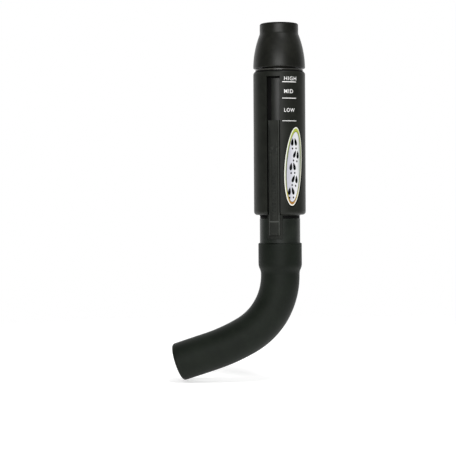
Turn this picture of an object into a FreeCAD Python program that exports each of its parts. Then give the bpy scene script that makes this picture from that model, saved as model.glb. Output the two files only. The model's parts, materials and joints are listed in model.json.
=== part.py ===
import FreeCAD, Part
import math
import os

import Sketcher

# Breath-blown deer grunt call with a thumb slide for the tone.
# Millimetres. The origin is the middle of the barrel, +Z runs to the mouthpiece, and the slide faces -Y.

doc = FreeCAD.newDocument("grunt_call")
V = FreeCAD.Vector
NEAR = 0.01
LEAST_CUT = 0.1

# ---------------------------------------------------------------- driving dimensions

DRIVING = {
    # barrel
    "barrel_len": 101.5,
    "barrel_r": 18.4,
    "barrel_wall": 2.55,
    "barrel_top_round": 2.2,
    "barrel_foot_round": 2.4,
    "slot_half": 4.75,
    "slot_top_gap": 4.45,
    "cut_over": 1.0,
    # inner barrel and its link slot
    "core_r": 14.35,
    "core_wall": 2.0,
    "core_top_gap": 0.75,
    "core_foot_drop": 0.75,
    "link_half": 1.5,
    "link_play": 0.8,
    # neck
    "neck_gap": 1.1,
    "ring_lift": 0.35,
    "ring_r": 17.0,
    "ring_thick": 0.7,
    "spigot_r": 12.0,
    "spigot_len": 10.0,
    "neck_bore_r": 9.0,
    "seat_depth": 4.0,
    # mouthpiece
    "mouth_len": 31.7,
    "mouth_r": 18.4,
    "tip_r": 13.65,
    "tip_len": 7.2,
    "tip_round": 1.2,
    "mouth_foot_round": 0.7,
    "mouth_bore_r": 7.0,
    "liner_r": 14.0,
    "liner_tip_r": 10.0,
    "liner_len": 26.0,
    "liner_neck_lift": 3.0,
    "liner_cone_lift": 8.0,
    "mouth_fit": 0.05,
    # slider
    "slider_top": 15.5,
    "slider_len": 80.5,
    "slider_half": 3.75,
    "slider_sink": 0.4,
    "bar_bevel": 1.0,
    "chin_round": 0.7,
    "flange_half": 5.4,
    "flange_gap": 0.15,
    "flange_thick": 1.0,
    "flange_tail": 2.5,
    "ramp_len": 20.3,
    "ramp_depth": 1.1,
    "strip_half": 1.4,
    "strip_depth": 1.2,
    "strip_len": 50.0,
    "rib_start": 9.0,
    "rib_pitch": 2.3,
    "rib_thick": 0.9,
    "rib_height": 0.3,
    "rib_count": 17,
    "tongue_half": 1.2,
    "tongue_tall": 3.0,
    "tongue_reach": 1.5,
    "slider_travel": 30.5,
    # tension ring and its carrier
    "ring_level": -30.0,
    "carrier_fit": 0.2,
    "carrier_tall": 6.0,
    "carrier_bore_r": 8.0,
    "window_inner_r": 9.4,
    "window_outer_r": 10.9,
    "window_half": 2.2,
    "window_count": 5,
    "window_span": 180,
    "cord_r": 0.7,
    "loop_gap": 0.08,
    "loop_corner": 1.6,
    # tone board, reed, wedge and plug
    "board_r": 7.0,
    "board_tip": 25.0,
    "board_face": 3.0,
    "board_slope": 0.82,
    "trough_half": 2.5,
    "trough_floor": -1.5,
    "trough_end": 5.0,
    "reed_half": 5.0,
    "reed_thick": 0.3,
    "reed_play": 0.08,
    "reed_root_gap": 1.0,
    "clamp_lead": 0.5,
    "plug_top": -35.0,
    "plug_len": 11.0,
    "plug_floor": 3.0,
    "plug_bore_r": 3.0,
    "plug_fit": 0.05,
    # O-rings
    "oring_r": 0.6,
    "oring_groove": 1.6,
    "neck_groove_lift": 5.0,
    "plug_groove_lift": 4.0,
    "adapter_groove_lift": 1.8,
    # adapter
    "adapter_spigot_len": 5.3,
    "adapter_spigot_fit": 0.05,
    "adapter_bore_r": 9.5,
    "adapter_neck_r": 12.6,
    "collar_gap": 1.8,
    "collar_len": 17.3,
    "gasket_r": 14.15,
    "gasket_fit": 0.05,
    "nipple_r": 12.6,
    "nipple_len": 18.0,
    "bead_r": 13.2,
    "bead_drop": 12.0,
    "bead_len": 2.0,
    "bead_ramp_len": 2.0,
    # resonator tube
    "cuff_gap": 0.1,
    "cuff_r": 15.45,
    "cuff_len": 18.0,
    "cuff_shoulder": 1.6,
    "cuff_lip_round": 0.8,
    "swivel_fit": 0.05,
    "tube_r": 13.75,
    "tube_bore_r": 11.0,
    "bend_level": -93.8,
    "bend_radius": 50.0,
    "bend_turn": 60.0,
    "sweep_radius": 140.0,
    "sweep_turn": 11.3,
    "tube_tail": 25.4,
    "tube_rim_round": 0.9,
    "tube_lean": 8.15,
    # C-shaped bush
    "bush_tall": 4.0,
    "bush_lift": 0.35,
    "bush_gap_half": 6.1,
    # badge
    "badge_half_tall": 28.5,
    "badge_half_wide": 7.92,
    "badge_thick": 0.2,
    "badge_level": -16.8,
    "badge_turn": 48.0,
    "badge_tilt": 4.0,
}

# ---------------------------------------------------------------- levels and radii worked out from them

DERIVED = {
    "barrel_top": "barrel_len / 2",
    "barrel_foot": "-barrel_len / 2",
    "barrel_bore_r": "barrel_r - barrel_wall",
    "slot_top": "barrel_top - slot_top_gap",
    "slot_end": "barrel_foot - cut_over",
    "core_bore_r": "core_r - core_wall",
    "core_top": "barrel_top - core_top_gap",
    "core_foot": "barrel_foot - core_foot_drop",
    "link_foot": "ring_level - tongue_tall / 2 - link_play",
    "link_top": "ring_level + slider_travel + tongue_tall / 2 + link_play",
    "ring_foot": "barrel_top + ring_lift",
    "ring_top": "ring_foot + ring_thick",
    "seat_foot": "barrel_top - seat_depth",
    "spigot_top": "ring_top + spigot_len",
    "mouth_foot": "ring_top + neck_gap",
    "mouth_top": "mouth_foot + mouth_len",
    "tip_foot": "mouth_top - tip_len",
    "flare_in": "mouth_r - tip_r",
    "flare_round": "((tip_foot - mouth_foot) ^ 2 + flare_in ^ 2) / (2 * flare_in)",
    "socket_r": "spigot_r + mouth_fit",
    "socket_top": "spigot_top + neck_gap",
    "liner_neck": "socket_top + liner_neck_lift",
    "liner_cone": "socket_top + liner_cone_lift",
    "liner_top": "mouth_foot + liner_len",
    "neck_groove_foot": "ring_top + neck_groove_lift",
    "neck_groove_top": "neck_groove_foot + oring_groove",
    "neck_groove_r": "spigot_r - oring_r * 2",
    "flange_in_r": "core_r + flange_gap",
    "flange_out_r": "flange_in_r + flange_thick",
    "slider_r": "barrel_r - slider_sink",
    "slider_foot": "slider_top - slider_len",
    "flange_foot": "slider_foot - flange_tail",
    "flange_in_edge": "sqrt(flange_in_r ^ 2 - flange_half ^ 2)",
    "flange_out_edge": "sqrt(flange_out_r ^ 2 - flange_half ^ 2)",
    "bar_in_edge": "sqrt(flange_out_r ^ 2 - slider_half ^ 2)",
    "bar_face_half": "slider_half - bar_bevel",
    "bar_face_edge": "sqrt(slider_r ^ 2 - bar_face_half ^ 2)",
    "bar_side_edge": "bar_face_edge - bar_bevel",
    "ramp_foot": "slider_top - ramp_len",
    "ramp_face": "slider_r - ramp_depth",
    "strip_foot": "ramp_foot - strip_len",
    "strip_floor": "slider_r - strip_depth",
    "strip_face": "slider_r - rib_height",
    "rib_foot": "ramp_foot - rib_start - rib_thick",
    "rib_top": "ramp_foot - rib_start",
    "carrier_r": "core_bore_r - carrier_fit",
    "notch_floor": "carrier_r - tongue_reach",
    "tongue_foot": "ring_level - tongue_tall / 2",
    "carrier_foot": "ring_level - carrier_tall / 2",
    "carrier_top": "ring_level + carrier_tall / 2",
    "loop_r": "board_r + loop_gap + cord_r",
    "loop_face": "board_face + reed_thick + loop_gap + cord_r",
    "loop_x": "sqrt((loop_r - loop_corner) ^ 2 - (loop_face - loop_corner) ^ 2)",
    "loop_tx": "loop_x * loop_r / (loop_r - loop_corner)",
    "loop_ty": "(loop_face - loop_corner) * loop_r / (loop_r - loop_corner)",
    "carrier_groove_r": "loop_r + cord_r",
    "carrier_groove_foot": "ring_level - cord_r",
    "carrier_groove_top": "ring_level + cord_r",
    "plug_foot": "plug_top - plug_len",
    "plug_seat": "plug_foot + plug_floor",
    "plug_r": "core_bore_r - plug_fit",
    "plug_groove_foot": "plug_foot + plug_groove_lift",
    "plug_groove_top": "plug_groove_foot + oring_groove",
    "plug_groove_r": "plug_r - oring_r * 2",
    "clamp_top": "plug_top + clamp_lead",
    "board_flat": "board_face - reed_play",
    "board_tip_flat": "board_flat - (board_tip - clamp_top) * tan(board_slope * 1deg)",
    "wedge_face": "board_face + reed_thick + reed_play",
    "reed_foot": "plug_seat + reed_root_gap",
    "trough_top": "board_tip - trough_end",
    "collar_top": "core_foot - collar_gap",
    "collar_foot": "collar_top - collar_len",
    "adapter_top": "core_foot + adapter_spigot_len",
    "gasket_bore_r": "adapter_neck_r + gasket_fit",
    "gasket_top": "core_foot - gasket_fit",
    "gasket_foot": "collar_top + gasket_fit",
    "adapter_spigot_r": "core_bore_r - adapter_spigot_fit",
    "adapter_groove_foot": "core_foot + adapter_groove_lift",
    "adapter_groove_top": "adapter_groove_foot + oring_groove",
    "adapter_groove_r": "adapter_spigot_r - oring_r * 2",
    "nipple_foot": "collar_foot - nipple_len",
    "bead_top": "collar_foot - bead_drop",
    "bead_foot": "bead_top - bead_len",
    "bead_ramp": "bead_foot - bead_ramp_len",
    "cuff_top": "collar_foot - cuff_gap",
    "cuff_foot": "cuff_top - cuff_len",
    "cuff_neck": "cuff_foot - cuff_shoulder",
    "cuff_bore_r": "nipple_r + swivel_fit",
    "cuff_bead_r": "bead_r + swivel_fit",
    "cuff_seat": "nipple_foot - cuff_gap",
    "cuff_bead_top": "bead_top + swivel_fit",
    "cuff_bead_foot": "bead_foot - swivel_fit",
    "cuff_bead_ramp": "bead_ramp - swivel_fit",
    "bend_x": "bend_radius * (cos(bend_turn * 1deg) - 1)",
    "bend_z": "bend_level - bend_radius * sin(bend_turn * 1deg)",
    "sweep_x": "bend_x - sweep_radius * (cos(bend_turn * 1deg) - cos((bend_turn + sweep_turn) * 1deg))",
    "sweep_z": "bend_z - sweep_radius * (sin((bend_turn + sweep_turn) * 1deg) - sin(bend_turn * 1deg))",
    "tail_x": "sweep_x - tube_tail * sin((bend_turn + sweep_turn) * 1deg)",
    "tail_z": "sweep_z - tube_tail * cos((bend_turn + sweep_turn) * 1deg)",
    "bush_foot": "barrel_foot + bush_lift",
    "bush_top": "bush_foot + bush_tall",
    "bush_reach": "barrel_r",
}

dims = doc.addObject("Spreadsheet::Sheet", "Dims")
row = 0
for alias, value in DRIVING.items():
    row += 1
    dims.set("A%d" % row, alias)
    dims.set("B%d" % row, str(value))
    dims.setAlias("B%d" % row, alias)
for alias, formula in DERIVED.items():
    row += 1
    dims.set("A%d" % row, alias)
    dims.set("B%d" % row, "=" + formula)
    dims.setAlias("B%d" % row, alias)
doc.recompute()


def number(name):
    """The value of a cell, or of its negative when the name starts with a minus sign."""
    if name == "zero":
        return 0.0
    if name.startswith("-"):
        return -number(name[1:])
    return float(getattr(dims, name))


def cell(name):
    """The expression that reads a cell."""
    if name.startswith("-"):
        return "-Dims." + name[1:]
    return "Dims." + name


# ---------------------------------------------------------------- modelling helpers

def new_body(label):
    body = doc.addObject("PartDesign::Body", label)
    body.Label = label
    return body


def origin_feature(body, role):
    return [item for item in body.Origin.OriginFeatures if item.Role == role][0]


def bind_point(sketch, geo, point, x_name, y_name):
    """Tie one sketch point to the cells that give its two coordinates."""
    for kind, axis, name in (("DistanceX", -2, x_name), ("DistanceY", -1, y_name)):
        if name == "zero":
            sketch.addConstraint(Sketcher.Constraint("PointOnObject", geo, point, axis))
            continue
        index = sketch.addConstraint(Sketcher.Constraint(kind, -1, 1, geo, point, number(name)))
        sketch.setExpression("Constraints[%d]" % index, cell(name))


def arc_between(start, end, radius, turns_left):
    """The arc under half a turn from start to end, and its geometry's own start point."""
    middle = (start + end) * 0.5
    chord = end - start
    reach = math.sqrt(radius * radius - (chord.Length / 2) ** 2)
    left = V(-chord.y, chord.x, 0).normalize()
    centre = middle + left * (reach if turns_left else -reach)
    first, last = (start, end) if turns_left else (end, start)
    begin = math.atan2(first.y - centre.y, first.x - centre.x)
    finish = math.atan2(last.y - centre.y, last.x - centre.x)
    circle = Part.Circle(centre, V(0, 0, 1), radius)
    return Part.ArcOfCircle(circle, begin, finish)


def outline(body, name, role, corners, lift=None, closed=True):
    """A sketch through corners. A corner is (x, y), or (x, y, radius) where an arc arrives at it.

    A radius name with a minus sign turns the arc to the right.
    """
    sketch = body.newObject("Sketcher::SketchObject", name)
    sketch.AttachmentSupport = [(origin_feature(body, role), "")]
    sketch.MapMode = "FlatFace"
    if lift:
        sketch.setExpression("AttachmentOffset.Base.z", cell(lift))
    places = [V(number(corner[0]), number(corner[1]), 0) for corner in corners]
    count = len(corners) if closed else len(corners) - 1
    ends = []
    for index in range(count):
        target = (index + 1) % len(corners)
        start, end = places[index], places[target]
        if len(corners[target]) == 3:
            radius_name = corners[target][2]
            turns_left = not radius_name.startswith("-")
            radius_name = radius_name.lstrip("-")
            arc = arc_between(start, end, number(radius_name), turns_left)
            geo = sketch.addGeometry(arc)
            fixed = sketch.addConstraint(Sketcher.Constraint("Radius", geo, number(radius_name)))
            sketch.setExpression("Constraints[%d]" % fixed, cell(radius_name))
            ends.append((geo, 1, 2) if turns_left else (geo, 2, 1))
        else:
            geo = sketch.addGeometry(Part.LineSegment(start, end))
            ends.append((geo, 1, 2))
    for index in range(count if closed else count - 1):
        geo, _, last = ends[index]
        next_geo, first, _ = ends[(index + 1) % count]
        sketch.addConstraint(Sketcher.Constraint("Coincident", geo, last, next_geo, first))
    for index in range(count):
        geo, first, _ = ends[index]
        bind_point(sketch, geo, first, corners[index][0], corners[index][1])
    if not closed:
        geo, _, last = ends[-1]
        bind_point(sketch, geo, last, corners[-1][0], corners[-1][1])
    return sketch


def rectangle(x_low, x_high, y_low, y_high):
    return [(x_low, y_low), (x_high, y_low), (x_high, y_high), (x_low, y_high)]


def ring_sketch(body, name, radius_name, lift):
    """A full circle about the Z axis, at the height that the lift cell gives."""
    sketch = body.newObject("Sketcher::SketchObject", name)
    sketch.AttachmentSupport = [(origin_feature(body, "XY_Plane"), "")]
    sketch.MapMode = "FlatFace"
    sketch.setExpression("AttachmentOffset.Base.z", cell(lift))
    geo = sketch.addGeometry(Part.Circle(V(0, 0, 0), V(0, 0, 1), number(radius_name)))
    sketch.addConstraint(Sketcher.Constraint("Coincident", geo, 3, -1, 1))
    fixed = sketch.addConstraint(Sketcher.Constraint("Radius", geo, number(radius_name)))
    sketch.setExpression("Constraints[%d]" % fixed, cell(radius_name))
    return sketch


def turned(body, name, corners, kind="Revolution"):
    """Turn an outline of (radius, height) corners about the Z axis, or groove it away."""
    sketch = outline(body, name + "_outline", "XZ_Plane", corners)
    feature = body.newObject("PartDesign::" + kind, name)
    feature.Profile = sketch
    feature.ReferenceAxis = (sketch, ["V_Axis"])
    feature.Angle = 360
    return feature


def extruded(body, name, sketch, length, kind="Pad", both_ways=False, reverse=False):
    feature = body.newObject("PartDesign::" + kind, name)
    feature.Profile = sketch
    feature.setExpression("Length", length)
    feature.SideType = "Symmetric" if both_ways else "One side"
    feature.Reversed = reverse
    return feature


def rounded(body, name, base, edge_test, radius_name, kind="Fillet"):
    """Round every edge of the base feature that the test picks."""
    doc.recompute()
    picked = ["Edge%d" % (i + 1) for i, edge in enumerate(base.Shape.Edges) if edge_test(edge)]
    if not picked:
        raise RuntimeError(name + " found no edge")
    feature = body.newObject("PartDesign::" + kind, name)
    feature.Base = (base, picked)
    feature.setExpression("Radius" if kind == "Fillet" else "Size", cell(radius_name))
    return feature


def rim(radius_name, height_name):
    """A test for the edges that lie on one circle about Z."""
    radius, height = number(radius_name), number(height_name)

    def test(edge):
        box = edge.BoundBox
        level = abs(box.ZMin - height) < NEAR and abs(box.ZMax - height) < NEAR
        if not level or not isinstance(edge.Curve, Part.Circle):
            return False
        return abs(edge.Curve.Radius - radius) < NEAR
    return test


def rubber_ring(label, major, height):
    """An O-ring: a torus about Z."""
    ring = doc.addObject("Part::Torus", label)
    ring.Label = label
    ring.setExpression("Radius1", major)
    ring.setExpression("Radius2", "Dims.oring_r")
    ring.setExpression("Placement.Base.z", height)
    return ring


# ---------------------------------------------------------------- mouthpiece and neck

def make_mouthpiece():
    """Soft moulding: straight tip, flare down to the barrel's size, moulded round the liner."""
    body = new_body("mouthpiece")
    skin = turned(body, "skin", [
        ("liner_r", "mouth_foot"),
        ("mouth_r", "mouth_foot"),
        ("tip_r", "tip_foot", "flare_round"),
        ("tip_r", "mouth_top"),
        ("mouth_bore_r", "mouth_top"),
        ("mouth_bore_r", "liner_top"),
        ("liner_tip_r", "liner_top"),
        ("liner_tip_r", "liner_cone"),
        ("liner_r", "liner_neck"),
    ])
    tip = rounded(body, "tip_round", skin, rim("tip_r", "mouth_top"), "tip_round")
    rounded(body, "foot_round", tip, rim("mouth_r", "mouth_foot"), "mouth_foot_round")
    return body


def make_mouthpiece_core():
    """Rigid liner: a socket that slides over the neck spigot, and the blow hole."""
    body = new_body("mouthpiece_core")
    turned(body, "liner", [
        ("socket_r", "mouth_foot"),
        ("liner_r", "mouth_foot"),
        ("liner_r", "liner_neck"),
        ("liner_tip_r", "liner_cone"),
        ("liner_tip_r", "liner_top"),
        ("mouth_bore_r", "liner_top"),
        ("mouth_bore_r", "liner_cone"),
        ("neck_bore_r", "socket_top"),
        ("socket_r", "socket_top"),
    ])
    return body


def make_neck_collar():
    """Ring seen in the neck groove, a seat down into both barrels and a spigot up."""
    body = new_body("neck_collar")
    turned(body, "collar", [
        ("neck_bore_r", "core_top"),
        ("core_r", "core_top"),
        ("core_r", "seat_foot"),
        ("barrel_bore_r", "seat_foot"),
        ("barrel_bore_r", "ring_foot"),
        ("ring_r", "ring_foot"),
        ("ring_r", "ring_top"),
        ("spigot_r", "ring_top"),
        ("spigot_r", "neck_groove_foot"),
        ("neck_groove_r", "neck_groove_foot"),
        ("neck_groove_r", "neck_groove_top"),
        ("spigot_r", "neck_groove_top"),
        ("spigot_r", "spigot_top"),
        ("neck_bore_r", "spigot_top"),
    ])
    return body


# ---------------------------------------------------------------- barrels

def make_outer_barrel(badge):
    """Plain tube with a slot down its front, open at the foot, and a shallow seat for the badge."""
    body = new_body("barrel_tube")
    tube = turned(body, "tube", rectangle("barrel_bore_r", "barrel_r", "barrel_foot", "barrel_top"))
    top = rounded(body, "top_round", tube, rim("barrel_r", "barrel_top"), "barrel_top_round")
    rounded(body, "foot_round", top, rim("barrel_r", "barrel_foot"), "barrel_foot_round")
    slot = outline(body, "slot_outline", "XZ_Plane",
                   rectangle("-slot_half", "slot_half", "slot_end", "slot_top"))
    extruded(body, "slot", slot, "Dims.barrel_r + Dims.cut_over", kind="Pocket", reverse=True)
    barrel = doc.addObject("Part::Cut", "outer_barrel")
    barrel.Label = "outer_barrel"
    barrel.Base = body
    barrel.Tool = badge
    return barrel


def make_inner_barrel():
    """Air tube. The slider's tongue passes through its narrow link slot."""
    body = new_body("inner_barrel")
    turned(body, "tube", rectangle("core_bore_r", "core_r", "core_foot", "core_top"))
    slot = outline(body, "link_outline", "XZ_Plane",
                   rectangle("-link_half", "link_half", "link_foot", "link_top"))
    extruded(body, "link_slot", slot, "Dims.core_r + Dims.cut_over", kind="Pocket", reverse=True)
    return body


def make_barrel_bush():
    """C-shaped ring that centres the outer barrel's foot, open where the slider passes."""
    body = new_body("barrel_bush")
    turned(body, "ring", rectangle("core_r", "barrel_bore_r", "bush_foot", "bush_top"))
    gap = outline(body, "gap_outline", "XZ_Plane",
                  rectangle("-bush_gap_half", "bush_gap_half", "slot_end", "slot_top"))
    extruded(body, "gap", gap, "Dims.bush_reach", kind="Pocket", reverse=True)
    return body


# ---------------------------------------------------------------- slider

def at_chin(edge):
    """The lower front edges of the slider's bar."""
    box = edge.BoundBox
    return abs(box.ZMax - number("slider_foot")) < NEAR and box.YMax < NEAR - number("bar_side_edge")


def make_tone_slider():
    """Thumb bar in the slot, the flange that keeps it in, and the tongue that drives the carrier."""
    body = new_body("tone_slider")
    flange = outline(body, "flange_outline", "XY_Plane", [
        ("-flange_half", "-flange_out_edge"),
        ("flange_half", "-flange_out_edge", "flange_out_r"),
        ("flange_half", "-flange_in_edge"),
        ("-flange_half", "-flange_in_edge", "-flange_in_r"),
    ], lift="flange_foot")
    extruded(body, "flange", flange, "Dims.slider_top - Dims.flange_foot")
    bar = outline(body, "bar_outline", "XY_Plane", [
        ("-bar_face_half", "-bar_face_edge"),
        ("bar_face_half", "-bar_face_edge", "slider_r"),
        ("slider_half", "-bar_side_edge"),
        ("slider_half", "-bar_in_edge"),
        ("-slider_half", "-bar_in_edge", "-flange_out_r"),
        ("-slider_half", "-bar_side_edge"),
    ], lift="slider_foot")
    bar_pad = extruded(body, "bar", bar, "Dims.slider_len")
    rounded(body, "chin", bar_pad, at_chin, "chin_round")
    tongue = outline(body, "tongue_outline", "XY_Plane",
                     rectangle("-tongue_half", "tongue_half", "-flange_out_edge", "-notch_floor"),
                     lift="tongue_foot")
    extruded(body, "tongue", tongue, "Dims.tongue_tall")
    ramp_low = outline(body, "ramp_low", "XY_Plane",
                       rectangle("-strip_half", "strip_half", "-barrel_r", "-strip_face"),
                       lift="ramp_foot")
    ramp_high = outline(body, "ramp_high", "XY_Plane",
                        rectangle("-slider_half", "slider_half", "-barrel_r", "-ramp_face"),
                        lift="slider_top")
    ramp = body.newObject("PartDesign::SubtractiveLoft", "ramp")
    ramp.Profile = ramp_low
    ramp.Sections = [ramp_high]
    ramp.Ruled = True
    strip = outline(body, "strip_outline", "YZ_Plane",
                    rectangle("-barrel_r", "-strip_floor", "strip_foot", "ramp_foot"))
    extruded(body, "strip_seat", strip, "Dims.strip_half * 2", kind="Pocket", both_ways=True)
    return body


def make_grip_strip():
    """Ribbed strip let into the slider's face, under the thumb."""
    body = new_body("grip_strip")
    base = outline(body, "base_outline", "YZ_Plane",
                   rectangle("-strip_face", "-strip_floor", "strip_foot", "ramp_foot"))
    extruded(body, "base", base, "Dims.strip_half * 2", both_ways=True)
    rib = outline(body, "rib_outline", "YZ_Plane",
                  rectangle("-slider_r", "-strip_face", "rib_foot", "rib_top"))
    rib_pad = extruded(body, "rib", rib, "Dims.strip_half * 2", both_ways=True)
    doc.recompute()
    ribs = body.newObject("PartDesign::LinearPattern", "ribs")
    ribs.Originals = [rib_pad]
    ribs.Direction = (origin_feature(body, "Z_Axis"), [""])
    ribs.Reversed = True
    ribs.Mode = "Spacing"
    ribs.setExpression("Offset", "Dims.rib_pitch")
    ribs.setExpression("Occurrences", "Dims.rib_count")
    body.Tip = ribs
    return body


# ---------------------------------------------------------------- tension ring and carrier

def make_ring_carrier():
    """Cage that the tongue drives along the inner barrel, with five air windows."""
    body = new_body("ring_carrier")
    turned(body, "cage", [
        ("carrier_bore_r", "carrier_foot"),
        ("carrier_r", "carrier_foot"),
        ("carrier_r", "carrier_top"),
        ("carrier_bore_r", "carrier_top"),
        ("carrier_bore_r", "carrier_groove_top"),
        ("carrier_groove_r", "carrier_groove_top"),
        ("carrier_groove_r", "carrier_groove_foot"),
        ("carrier_bore_r", "carrier_groove_foot"),
    ])
    notch = outline(body, "notch_outline", "XY_Plane",
                    rectangle("-tongue_half", "tongue_half", "-core_r", "-notch_floor"),
                    lift="tongue_foot")
    extruded(body, "notch", notch, "Dims.tongue_tall", kind="Pocket", reverse=True)
    window = outline(body, "window_outline", "XY_Plane",
                     rectangle("window_inner_r", "window_outer_r", "-window_half", "window_half"),
                     lift="carrier_foot")
    hole = extruded(body, "window", window, "Dims.carrier_tall", kind="Pocket", reverse=True)
    doc.recompute()
    around = body.newObject("PartDesign::PolarPattern", "windows")
    around.Originals = [hole]
    around.Axis = (origin_feature(body, "Z_Axis"), [""])
    around.Angle = number("window_span")
    around.setExpression("Occurrences", "Dims.window_count")
    body.Tip = around
    return body


def make_tension_o_ring():
    """Rubber loop round the board's back and the reed's face, held by the carrier."""
    body = new_body("tension_o_ring")
    path = outline(body, "loop_path", "XY_Plane", [
        ("loop_x", "loop_face", "loop_corner"),
        ("-loop_x", "loop_face"),
        ("-loop_tx", "loop_ty", "loop_corner"),
        ("zero", "-loop_r", "loop_r"),
        ("loop_tx", "loop_ty", "loop_r"),
    ], lift="ring_level")
    section = body.newObject("Sketcher::SketchObject", "cord_section")
    section.AttachmentSupport = [(origin_feature(body, "YZ_Plane"), "")]
    section.MapMode = "FlatFace"
    place = V(-number("loop_r"), number("ring_level"), 0)
    geo = section.addGeometry(Part.Circle(place, V(0, 0, 1), number("cord_r")))
    bind_point(section, geo, 3, "-loop_r", "ring_level")
    fixed = section.addConstraint(Sketcher.Constraint("Radius", geo, number("cord_r")))
    section.setExpression("Constraints[%d]" % fixed, cell("cord_r"))
    pipe = body.newObject("PartDesign::AdditivePipe", "loop")
    pipe.Profile = section
    pipe.Spine = (path, [])
    return body


# ---------------------------------------------------------------- reed set

def make_tone_board():
    """Round bar with a sloping flat for the reed and a trough that leads the air down."""
    body = new_body("tone_board")
    bar = ring_sketch(body, "bar_outline", "board_r", "plug_seat")
    extruded(body, "bar", bar, "Dims.board_tip - Dims.plug_seat")
    flat = outline(body, "flat_outline", "YZ_Plane", [
        ("board_flat", "plug_seat"),
        ("plug_r", "plug_seat"),
        ("plug_r", "board_tip"),
        ("board_tip_flat", "board_tip"),
        ("board_flat", "clamp_top"),
    ])
    extruded(body, "flat", flat, "Dims.board_r * 2", kind="Pocket", both_ways=True)
    trough = outline(body, "trough_outline", "YZ_Plane",
                     rectangle("trough_floor", "plug_r", "plug_seat", "trough_top"))
    extruded(body, "trough", trough, "Dims.trough_half * 2", kind="Pocket", both_ways=True)
    return body


def make_reed():
    """Thin blade from inside the clamp to the board's tip."""
    blade = doc.addObject("Part::Box", "reed")
    blade.Label = "reed"
    blade.setExpression("Length", "Dims.reed_half * 2")
    blade.setExpression("Width", "Dims.reed_thick")
    blade.setExpression("Height", "Dims.board_tip - Dims.reed_foot")
    blade.setExpression("Placement.Base.x", "-Dims.reed_half")
    blade.setExpression("Placement.Base.y", "Dims.board_face")
    blade.setExpression("Placement.Base.z", "Dims.reed_foot")
    return blade


def make_reed_wedge():
    """Segment that fills the plug's socket above the reed's root."""
    body = new_body("reed_wedge")
    bar = ring_sketch(body, "wedge_outline", "board_r", "plug_seat")
    extruded(body, "wedge", bar, "Dims.clamp_top - Dims.plug_seat")
    below = outline(body, "below_outline", "YZ_Plane",
                    rectangle("-plug_r", "wedge_face", "plug_seat", "clamp_top"))
    extruded(body, "below", below, "Dims.board_r * 2", kind="Pocket", both_ways=True)
    return body


def make_insert_plug():
    """Plug with a socket for the board's root and an air hole into the tube."""
    body = new_body("insert_plug")
    turned(body, "plug", [
        ("plug_bore_r", "plug_foot"),
        ("plug_r", "plug_foot"),
        ("plug_r", "plug_groove_foot"),
        ("plug_groove_r", "plug_groove_foot"),
        ("plug_groove_r", "plug_groove_top"),
        ("plug_r", "plug_groove_top"),
        ("plug_r", "plug_top"),
        ("board_r", "plug_top"),
        ("board_r", "plug_seat"),
        ("plug_bore_r", "plug_seat"),
    ])
    return body


# ---------------------------------------------------------------- adapter and resonator tube

def make_tube_adapter():
    """Plain collar under the barrel, with a spigot up and a beaded nipple down into the cuff."""
    body = new_body("tube_adapter")
    turned(body, "adapter", [
        ("adapter_bore_r", "nipple_foot"),
        ("nipple_r", "nipple_foot"),
        ("nipple_r", "bead_ramp"),
        ("bead_r", "bead_foot"),
        ("bead_r", "bead_top"),
        ("nipple_r", "bead_top"),
        ("nipple_r", "collar_foot"),
        ("core_r", "collar_foot"),
        ("core_r", "collar_top"),
        ("adapter_neck_r", "collar_top"),
        ("adapter_neck_r", "core_foot"),
        ("adapter_spigot_r", "core_foot"),
        ("adapter_spigot_r", "adapter_groove_foot"),
        ("adapter_groove_r", "adapter_groove_foot"),
        ("adapter_groove_r", "adapter_groove_top"),
        ("adapter_spigot_r", "adapter_groove_top"),
        ("adapter_spigot_r", "adapter_top"),
        ("adapter_bore_r", "adapter_top"),
    ])
    return body


def make_foot_gasket():
    """Rubber ring that fills the gap between the inner barrel's foot and the adapter's collar."""
    body = new_body("foot_gasket")
    turned(body, "gasket", rectangle("gasket_bore_r", "gasket_r", "gasket_foot", "gasket_top"))
    return body


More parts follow.
